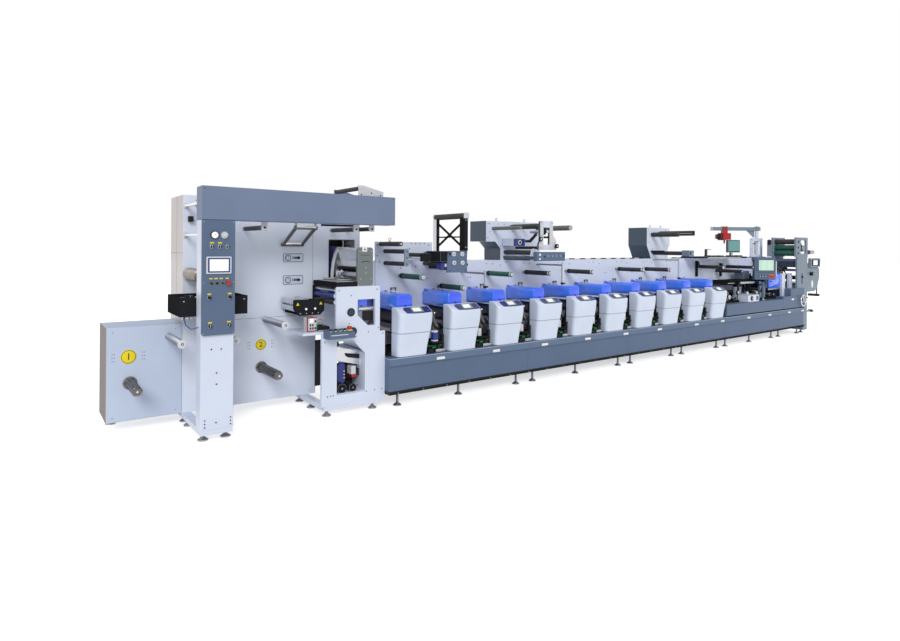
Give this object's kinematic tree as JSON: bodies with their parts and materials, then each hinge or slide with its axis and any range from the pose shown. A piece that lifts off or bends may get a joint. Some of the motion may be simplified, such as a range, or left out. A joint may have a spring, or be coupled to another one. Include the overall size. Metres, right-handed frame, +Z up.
{
  "type": "flexographic printing press",
  "caption": "In-line flexographic label press with rewinder, servo print units, web guide rollers, overhead turn units and unwinder.",
  "frame": {"origin": "middle of the press's floor outline, on the floor under the levelling feet", "axes": "+X along the press from the rewinder to the unwinder, +Y from the operator's side to the back, +Z up"},
  "size_m": [12.3186, 1.3294, 2.19],
  "materials": {
    "slate_paint": "satin grey-blue paint",
    "white_paint": "satin white paint, faintly lavender",
    "cover_plastic": "glossy white moulding",
    "guard_acrylic": "translucent blue acrylic",
    "steel": "ground and polished steel",
    "black_paint": "satin black",
    "black_rubber": "matt black covering",
    "green_rubber": "dark green covering",
    "grey_paint": "light grey paint",
    "hoist_red": "red enamel"
  },
  "bodies": {
    "press": {"bed": "slate_paint", "control_fascia": "slate_paint", "overhead_beam": "slate_paint", "operator_console": "slate_paint", "end_plinth": "slate_paint", "web_guide_unit": "slate_paint", "rewinder_box": "white_paint", "rewinder_cabinet": "white_paint", "front_column": "white_paint", "front_frame": "white_paint", "main_panel": "white_paint", "overhead_unit_1": "white_paint", "overhead_unit_2": "white_paint", "unit_cover_01": "cover_plastic", "unit_cover_02": "cover_plastic", "unit_cover_03": "cover_plastic", "unit_cover_04": "cover_plastic", "unit_cover_05": "cover_plastic", "unit_cover_06": "cover_plastic", "unit_cover_07": "cover_plastic", "unit_cover_08": "cover_plastic", "unit_cover_09": "cover_plastic", "unit_cover_10": "cover_plastic", "unit_hood_01": "guard_acrylic", "unit_hood_02": "guard_acrylic", "unit_hood_03": "guard_acrylic", "unit_hood_04": "guard_acrylic", "unit_hood_05": "guard_acrylic", "unit_hood_06": "guard_acrylic", "unit_hood_07": "guard_acrylic", "unit_hood_08": "guard_acrylic", "unit_hood_09": "guard_acrylic", "unit_hood_10": "guard_acrylic", "end_guard": "guard_acrylic", "die_head": "steel", "slitting_tray": "black_paint", "nip_unit": "black_paint", "print_decks": "black_paint", "lattice_carrier": "black_paint", "converting_modules": "black_paint", "end_frame": "grey_paint", "unwind_head": "grey_paint"},
    "winding_shaft_1": {"winding_shaft_1": "steel"},
    "winding_shaft_2": {"winding_shaft_2": "steel"},
    "steel_roller_1": {"steel_roller_1": "steel"},
    "steel_roller_2": {"steel_roller_2": "steel"},
    "steel_roller_3": {"steel_roller_3": "steel"},
    "chill_roller": {"chill_roller": "steel"},
    "green_roller_1": {"green_roller_1": "green_rubber"},
    "green_roller_2": {"green_roller_2": "green_rubber"},
    "green_roller_3": {"green_roller_3": "green_rubber"},
    "black_roller_1": {"black_roller_1": "black_rubber"},
    "black_roller_2": {"black_roller_2": "black_rubber"},
    "black_roller_3": {"black_roller_3": "black_rubber"},
    "black_roller_4": {"black_roller_4": "black_rubber"},
    "black_roller_5": {"black_roller_5": "black_rubber"},
    "handwheel": {"handwheel": "steel"},
    "jib_arm": {"jib_arm": "grey_paint"},
    "hoist": {"hoist": "hoist_red"},
    "operator_terminal": {"operator_terminal": "slate_paint"}
  },
  "joints": [
    {"name": "winding_shaft_1_turn", "type": "hinge", "parent": "press", "child": "winding_shaft_1", "pos_m": [-5.9793, 0.0366, 0.423], "axis": [0, 1, 0], "continuous": true},
    {"name": "winding_shaft_2_turn", "type": "hinge", "parent": "press", "child": "winding_shaft_2", "pos_m": [-4.8533, 0.0366, 0.428], "axis": [0, 1, 0], "continuous": true},
    {"name": "steel_roller_1_turn", "type": "hinge", "parent": "press", "child": "steel_roller_1", "pos_m": [-5.6853, 0.0366, 0.802], "axis": [0, 1, 0], "continuous": true},
    {"name": "steel_roller_2_turn", "type": "hinge", "parent": "press", "child": "steel_roller_2", "pos_m": [-4.8283, 0.0366, 0.891], "axis": [0, 1, 0], "continuous": true},
    {"name": "steel_roller_3_turn", "type": "hinge", "parent": "press", "child": "steel_roller_3", "pos_m": [-5.2343, 0.0366, 0.775], "axis": [0, 1, 0], "continuous": true},
    {"name": "chill_roller_turn", "type": "hinge", "parent": "press", "child": "chill_roller", "pos_m": [-5.5193, 0.0366, 1.345], "axis": [0, 1, 0], "continuous": true},
    {"name": "green_roller_1_turn", "type": "hinge", "parent": "press", "child": "green_roller_1", "pos_m": [-3.2983, 0.0366, 1.277], "axis": [0, 1, 0], "continuous": true},
    {"name": "green_roller_2_turn", "type": "hinge", "parent": "press", "child": "green_roller_2", "pos_m": [-2.7493, 0.0366, 1.145], "axis": [0, 1, 0], "continuous": true},
    {"name": "green_roller_3_turn", "type": "hinge", "parent": "press", "child": "green_roller_3", "pos_m": [-2.0293, 0.0366, 1.28], "axis": [0, 1, 0], "continuous": true},
    {"name": "black_roller_1_turn", "type": "hinge", "parent": "press", "child": "black_roller_1", "pos_m": [-1.3843, 0.0366, 1.28], "axis": [0, 1, 0], "continuous": true},
    {"name": "black_roller_2_turn", "type": "hinge", "parent": "press", "child": "black_roller_2", "pos_m": [-0.5723, 0.0366, 1.28], "axis": [0, 1, 0], "continuous": true},
    {"name": "black_roller_3_turn", "type": "hinge", "parent": "press", "child": "black_roller_3", "pos_m": [0.5377, 0.0366, 1.29], "axis": [0, 1, 0], "continuous": true},
    {"name": "black_roller_4_turn", "type": "hinge", "parent": "press", "child": "black_roller_4", "pos_m": [1.2097, 0.0366, 1.28], "axis": [0, 1, 0], "continuous": true},
    {"name": "black_roller_5_turn", "type": "hinge", "parent": "press", "child": "black_roller_5", "pos_m": [2.7327, 0.0366, 1.295], "axis": [0, 1, 0], "continuous": true},
    {"name": "handwheel_turn", "type": "hinge", "parent": "press", "child": "handwheel", "pos_m": [5.2687, -0.6431, 0.635], "axis": [0, 1, 0], "continuous": true},
    {"name": "jib_swing", "type": "hinge", "parent": "press", "child": "jib_arm", "pos_m": [4.9907, 0.1069, 1.965], "axis": [0, 0, 1], "range_deg": [-30, 100]},
    {"name": "hoist_travel", "type": "slide", "parent": "jib_arm", "child": "hoist", "axis": [-0.8039, 0.5948, 0], "range_m": [-0.14, 0.17]},
    {"name": "terminal_swivel", "type": "hinge", "parent": "press", "child": "operator_terminal", "pos_m": [3.9837, -0.4981, 1.06], "axis": [0, 0, 1], "range_deg": [-45, 36]}
  ]
}
